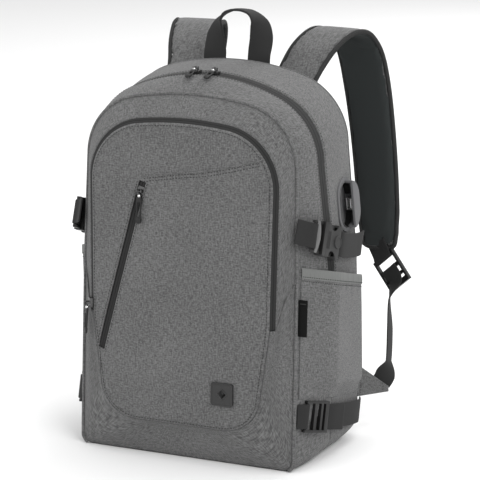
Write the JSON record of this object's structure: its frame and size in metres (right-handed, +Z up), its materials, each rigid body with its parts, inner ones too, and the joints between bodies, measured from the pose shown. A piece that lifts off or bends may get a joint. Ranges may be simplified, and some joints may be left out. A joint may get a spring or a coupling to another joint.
{
  "type": "laptop backpack",
  "caption": "Grey heather laptop backpack with front pocket, bottle pockets, side compression straps, padded shoulder straps, grab handle and an outside USB charging port",
  "frame": {"origin": "middle of the flat base, on the ground", "axes": "+Z up, the front pocket faces -Y, the shoulder straps are on +Y, the charging port is on +X"},
  "size_m": [0.3712, 0.3007, 0.5001],
  "materials": {
    "grey_heather_front": "two-tone melange weave",
    "grey_heather_side": "two-tone melange weave",
    "lining": "plain",
    "black_webbing": "ribbed webbing",
    "zip_tape": "coated, satin",
    "elastic_hem": "ribbed elastic",
    "air_mesh": "spacer mesh",
    "strap_fabric": "two-tone melange weave",
    "badge_rubber": "satin",
    "woven_label": "woven",
    "black_plastic": "fine texture",
    "slider_metal": "dark nickel",
    "puller_cord": "satin",
    "port_rubber": "matt",
    "usb_steel": "bright",
    "usb_tongue": "gloss"
  },
  "bodies": {
    "bag": {"back_pad_lower": "air_mesh", "back_pad_upper": "air_mesh", "back_panel": "lining", "badge_patch": "badge_rubber", "base_panel": "grey_heather_side", "buckle_plug_left": "black_plastic", "buckle_plug_right": "black_plastic", "buckle_socket_left": "black_plastic", "buckle_socket_right": "black_plastic", "diagonal_zip_tape": "zip_tape", "front_gusset": "grey_heather_side", "front_organiser": "lining", "front_wall": "grey_heather_side", "front_zip_tape": "zip_tape", "laptop_divider": "lining", "lower_front_panel": "grey_heather_front", "lower_strap_front_left": "black_webbing", "lower_strap_front_right": "black_webbing", "lower_strap_rear_left": "black_webbing", "lower_strap_rear_right": "black_webbing", "main_zip_tape": "zip_tape", "piping": "grey_heather_side", "pocket_gusset": "grey_heather_side", "pocket_hem_left": "elastic_hem", "pocket_hem_right": "elastic_hem", "pocket_panel": "grey_heather_front", "rear_gusset": "grey_heather_side", "side_label": "woven_label", "side_pocket_left": "grey_heather_side", "side_pocket_right": "grey_heather_side", "strap_tab_left": "strap_fabric", "strap_tab_right": "strap_fabric", "strap_webbing_left": "black_webbing", "strap_webbing_right": "black_webbing", "upper_strap_front_left": "black_webbing", "upper_strap_front_right": "black_webbing", "upper_strap_rear_left": "black_webbing", "upper_strap_rear_right": "black_webbing", "usb_bezel": "port_rubber", "usb_socket": "usb_steel", "usb_tongue": "usb_tongue"},
    "main_left_slider": {"main_left_slider": "slider_metal"},
    "main_left_puller": {"main_left_puller": "puller_cord"},
    "main_right_slider": {"main_right_slider": "slider_metal"},
    "main_right_puller": {"main_right_puller": "puller_cord"},
    "front_slider": {"front_slider": "slider_metal"},
    "front_puller": {"front_puller": "puller_cord"},
    "diagonal_slider": {"diagonal_slider": "slider_metal"},
    "diagonal_puller": {"diagonal_puller": "puller_cord"},
    "buckle_prong_upper_right": {"buckle_prong_upper_right": "black_plastic"},
    "buckle_prong_lower_right": {"buckle_prong_lower_right": "black_plastic"},
    "lower_ladder_lock_right": {"lower_ladder_lock_right": "black_plastic"},
    "shoulder_strap_right": {"shoulder_pad_right": "strap_fabric"},
    "strap_adjuster_right": {"strap_adjuster_right": "black_plastic"},
    "buckle_prong_upper_left": {"buckle_prong_upper_left": "black_plastic"},
    "buckle_prong_lower_left": {"buckle_prong_lower_left": "black_plastic"},
    "lower_ladder_lock_left": {"lower_ladder_lock_left": "black_plastic"},
    "shoulder_strap_left": {"shoulder_pad_left": "strap_fabric"},
    "strap_adjuster_left": {"strap_adjuster_left": "black_plastic"},
    "grab_handle": {"grab_handle": "black_webbing"}
  },
  "joints": [
    {"name": "main_left_slider_travel", "type": "hinge", "parent": "bag", "child": "main_left_slider", "pos_m": [0, -0.0199, 0.218], "axis": [0, 1, 0], "range_deg": [-18, 1.1]},
    {"name": "main_right_slider_travel", "type": "hinge", "parent": "bag", "child": "main_right_slider", "pos_m": [0, -0.0199, 0.218], "axis": [0, 1, 0], "range_deg": [-1.1, 18.5]},
    {"name": "front_slider_travel", "type": "slide", "parent": "bag", "child": "front_slider", "axis": [-0.0126, 0.0323, 0.9994], "range_m": [-0.003, 0.14]},
    {"name": "diagonal_slider_travel", "type": "slide", "parent": "bag", "child": "diagonal_slider", "axis": [-0.2587, -0.0312, -0.9654], "range_m": [-0.005, 0.18]},
    {"name": "main_left_puller_swing", "type": "hinge", "parent": "main_left_slider", "child": "main_left_puller", "pos_m": [-0.01499, -0.0199, 0.4437], "axis": [-0.9978, 0, -0.0663], "range_deg": [-2, 145]},
    {"name": "main_right_puller_swing", "type": "hinge", "parent": "main_right_slider", "child": "main_right_puller", "pos_m": [0.00868, -0.0199, 0.44403], "axis": [-0.9993, 0, 0.0384], "range_deg": [-2, 145]},
    {"name": "front_puller_swing", "type": "hinge", "parent": "front_slider", "child": "front_puller", "pos_m": [-0.11717, -0.09898, 0.17599], "axis": [-0.7071, 0.7071, 0], "range_deg": [-3, 150]},
    {"name": "diagonal_puller_swing", "type": "hinge", "parent": "diagonal_slider", "child": "diagonal_puller", "pos_m": [-0.0487, -0.09909, 0.31301], "axis": [-1, 0, 0], "range_deg": [-3, 150]},
    {"name": "prong_upper_squeeze_right", "type": "hinge", "parent": "bag", "child": "buckle_prong_upper_right", "pos_m": [0.1519, -0.03591, 0.27275], "axis": [-0.9863, 0.1544, -0.0579], "range_deg": [0, 11], "stiffness_Nm_per_rad": 0.3},
    {"name": "prong_lower_squeeze_right", "type": "hinge", "parent": "bag", "child": "buckle_prong_lower_right", "pos_m": [0.1519, -0.04258, 0.25496], "axis": [0.9863, -0.1544, 0.0579], "range_deg": [0, 11], "stiffness_Nm_per_rad": 0.3},
    {"name": "lower_lock_tilt_right", "type": "hinge", "parent": "bag", "child": "lower_ladder_lock_right", "pos_m": [0.14203, -0.06599, 0.063], "axis": [0, -0.2564, -0.9666], "range_deg": [0, 35]},
    {"name": "shoulder_strap_swing_right", "type": "hinge", "parent": "bag", "child": "shoulder_strap_right", "pos_m": [0.068, 0.06374, 0.4], "axis": [1, 0, 0], "range_deg": [-15, 12], "deforming": ["strap_webbing_right"]},
    {"name": "strap_adjuster_tilt_right", "type": "hinge", "parent": "shoulder_strap_right", "child": "strap_adjuster_right", "pos_m": [0.1472, 0.1655, 0.1954], "axis": [0.7211, -0.2524, 0.6452], "range_deg": [0, 40]},
    {"name": "prong_upper_squeeze_left", "type": "hinge", "parent": "bag", "child": "buckle_prong_upper_left", "pos_m": [-0.1519, -0.03591, 0.27275], "axis": [-0.9863, -0.1544, 0.0579], "range_deg": [0, 11], "stiffness_Nm_per_rad": 0.3},
    {"name": "prong_lower_squeeze_left", "type": "hinge", "parent": "bag", "child": "buckle_prong_lower_left", "pos_m": [-0.1519, -0.04258, 0.25496], "axis": [0.9863, 0.1544, -0.0579], "range_deg": [0, 11], "stiffness_Nm_per_rad": 0.3},
    {"name": "lower_lock_tilt_left", "type": "hinge", "parent": "bag", "child": "lower_ladder_lock_left", "pos_m": [-0.14203, -0.06599, 0.063], "axis": [0, 0.2564, 0.9666], "range_deg": [0, 35]},
    {"name": "shoulder_strap_swing_left", "type": "hinge", "parent": "bag", "child": "shoulder_strap_left", "pos_m": [-0.068, 0.06374, 0.4], "axis": [1, 0, 0], "range_deg": [-15, 12], "deforming": ["strap_webbing_left"]},
    {"name": "strap_adjuster_tilt_left", "type": "hinge", "parent": "shoulder_strap_left", "child": "strap_adjuster_left", "pos_m": [-0.1472, 0.1655, 0.1954], "axis": [0.7211, 0.2524, -0.6452], "range_deg": [0, 40]},
    {"name": "grab_handle_swing", "type": "hinge", "parent": "bag", "child": "grab_handle", "pos_m": [0, 0.05832, 0.434], "axis": [1, 0, 0], "range_deg": [-55, 12]}
  ],
  "couplings": [
    {"joint": "prong_lower_squeeze_right", "follows": "prong_upper_squeeze_right", "ratio": 1},
    {"joint": "prong_lower_squeeze_left", "follows": "prong_upper_squeeze_left", "ratio": 1}
  ]
}
